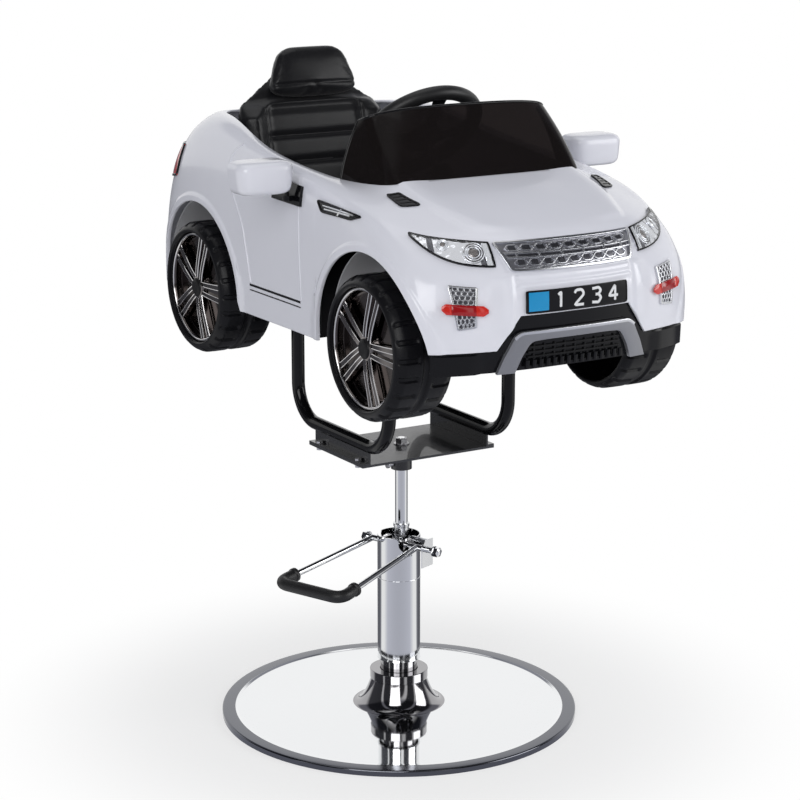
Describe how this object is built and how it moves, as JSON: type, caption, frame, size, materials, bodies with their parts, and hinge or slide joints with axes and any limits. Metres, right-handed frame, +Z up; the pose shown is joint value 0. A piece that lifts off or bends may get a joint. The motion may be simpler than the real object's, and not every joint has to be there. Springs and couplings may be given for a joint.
{
  "type": "children's car barber chair",
  "caption": "Children's salon chair: white toy car body with black padded seat on a chromed foot-pump column with a round base",
  "frame": {"origin": "centre of the base's underside, on the floor", "axes": "+Z up; -Y is the way the car faces; +X is the car's own left"},
  "size_m": [0.7034, 0.9368, 1.0989],
  "materials": {
    "chromed_steel": "polished chrome on the base, pump cover, ram and pedal",
    "dark_chrome": "smoked bright plating on the wheel inserts",
    "bright_trim": "bright plated plastic on the lamps and grille",
    "bare_steel": "plain machined steel",
    "black_paint": "glossy black enamel",
    "grey_paint": "dark grey hammered enamel on the carrier plate",
    "white_shell": "glossy white moulded plastic",
    "silver_plastic": "satin silver moulded plastic",
    "black_plastic": "fine-grained black plastic",
    "black_gloss": "glossy black plastic",
    "red_lens": "clear red lens",
    "smoked_screen": "smoked clear plastic",
    "tyre_plastic": "glossy black moulded tread",
    "black_rubber": "smooth black rubber",
    "black_leather": "smooth black synthetic leather"
  },
  "bodies": {
    "base": {"base_disc": "chromed_steel", "base_weight": "bare_steel", "floor_ring": "black_rubber", "pump_flange": "chromed_steel", "pump_body": "black_paint", "pump_bolts": "bare_steel", "pump_cover": "chromed_steel", "ram_gland": "chromed_steel", "shaft_bracket": "grey_paint", "plunger_spring": "bare_steel"},
    "plunger": {"pump_plunger": "bare_steel"},
    "lift_ram": {"piston_head": "bare_steel", "piston_seal": "black_rubber"},
    "pedal": {"pedal_bar": "chromed_steel", "pedal_grip": "black_rubber", "pedal_shaft": "chromed_steel", "rocker_arm": "bare_steel", "pedal_nuts": "chromed_steel"},
    "chair": {"ram_rod": "chromed_steel", "hub_collar": "black_paint", "plate_fasteners": "bare_steel", "seat_plate": "grey_paint", "rails": "black_paint", "carrier_tubes": "black_paint", "tube_feet": "black_paint", "chassis_pan": "black_plastic", "wheel_liners": "white_shell", "body_shell": "white_shell", "front_bumper": "black_gloss", "skid_trim": "silver_plastic", "grille": "bright_trim", "number_plate": "black_gloss", "headlamps": "bright_trim", "fog_grilles": "silver_plastic", "fog_lenses": "red_lens", "vents": "black_gloss", "windscreen": "smoked_screen", "dashboard": "black_plastic", "seat_cushion": "black_leather", "seat_back": "black_leather", "headrest": "black_leather", "tail_lamps": "red_lens", "mirror_brackets": "black_gloss", "front_axle": "bare_steel", "rear_axle": "bare_steel"},
    "mirror_left": {"mirror_left": "white_shell"},
    "mirror_right": {"mirror_right": "white_shell"},
    "steering": {"steering_column": "bare_steel", "steering_wheel": "black_plastic"},
    "tie_rod": {"tie_rod": "bare_steel"},
    "knuckle_left": {"knuckle_left": "bare_steel"},
    "knuckle_right": {"knuckle_right": "bare_steel"},
    "wheel_front_left": {"tyre_front_left": "tyre_plastic", "rim_front_left": "dark_chrome"},
    "wheel_front_right": {"tyre_front_right": "tyre_plastic", "rim_front_right": "dark_chrome"},
    "wheel_rear_left": {"tyre_rear_left": "tyre_plastic", "rim_rear_left": "dark_chrome"},
    "wheel_rear_right": {"tyre_rear_right": "tyre_plastic", "rim_rear_right": "dark_chrome"}
  },
  "joints": [
    {"name": "lift", "type": "slide", "parent": "base", "child": "lift_ram", "axis": [0, 0, 1], "range_m": [-0.09, 0.04]},
    {"name": "swivel", "type": "hinge", "parent": "lift_ram", "child": "chair", "pos_m": [0.00652, 0.00255, 0.4], "axis": [0, 0, 1], "continuous": true},
    {"name": "pedal_hinge", "type": "hinge", "parent": "base", "child": "pedal", "pos_m": [-0.01117, -0.00438, 0.297], "axis": [0.3649, -0.9311, 0], "range_deg": [0, 20], "stiffness_Nm_per_rad": 4, "springref_deg": -28.65},
    {"name": "plunger_slide", "type": "slide", "parent": "base", "child": "plunger", "axis": [0, 0, -1], "range_m": [0, 0.0052], "deforming": ["plunger_spring"]},
    {"name": "steering_turn", "type": "hinge", "parent": "chair", "child": "steering", "pos_m": [0.00652, -0.05445, 0.99], "axis": [0, 0.7133, 0.7009], "range_deg": [-42, 42]},
    {"name": "tie_rod_slide", "type": "slide", "parent": "chair", "child": "tie_rod", "axis": [1, 0, 0], "range_m": [-0.011, 0.011]},
    {"name": "kingpin_left", "type": "hinge", "parent": "chair", "child": "knuckle_left", "pos_m": [0.17152, -0.30145, 0.712], "axis": [0, 0, 1], "range_deg": [-18.2, 18.2]},
    {"name": "kingpin_right", "type": "hinge", "parent": "chair", "child": "knuckle_right", "pos_m": [-0.15848, -0.30145, 0.712], "axis": [0, 0, 1], "range_deg": [-18.2, 18.2]},
    {"name": "spin_front_left", "type": "hinge", "parent": "knuckle_left", "child": "wheel_front_left", "pos_m": [0.20652, -0.30145, 0.712], "axis": [1, 0, 0], "continuous": true},
    {"name": "spin_front_right", "type": "hinge", "parent": "knuckle_right", "child": "wheel_front_right", "pos_m": [-0.19348, -0.30145, 0.712], "axis": [1, 0, 0], "continuous": true},
    {"name": "spin_rear_left", "type": "hinge", "parent": "chair", "child": "wheel_rear_left", "pos_m": [0.20652, 0.25055, 0.712], "axis": [1, 0, 0], "continuous": true},
    {"name": "spin_rear_right", "type": "hinge", "parent": "chair", "child": "wheel_rear_right", "pos_m": [-0.19348, 0.25055, 0.712], "axis": [1, 0, 0], "continuous": true},
    {"name": "mirror_left_fold", "type": "hinge", "parent": "chair", "child": "mirror_left", "pos_m": [0.26452, -0.08545, 0.93], "axis": [0, 0, 1], "range_deg": [0, 55]},
    {"name": "mirror_right_fold", "type": "hinge", "parent": "chair", "child": "mirror_right", "pos_m": [-0.25148, -0.08545, 0.93], "axis": [0, 0, 1], "range_deg": [-55, 0]}
  ],
  "couplings": [
    {"joint": "plunger_slide", "follows": "pedal_hinge", "m_per_rad": 0.014},
    {"joint": "tie_rod_slide", "follows": "steering_turn", "m_per_rad": 0.0145},
    {"joint": "kingpin_left", "follows": "steering_turn", "ratio": 0.42857},
    {"joint": "kingpin_right", "follows": "steering_turn", "ratio": 0.42857}
  ]
}
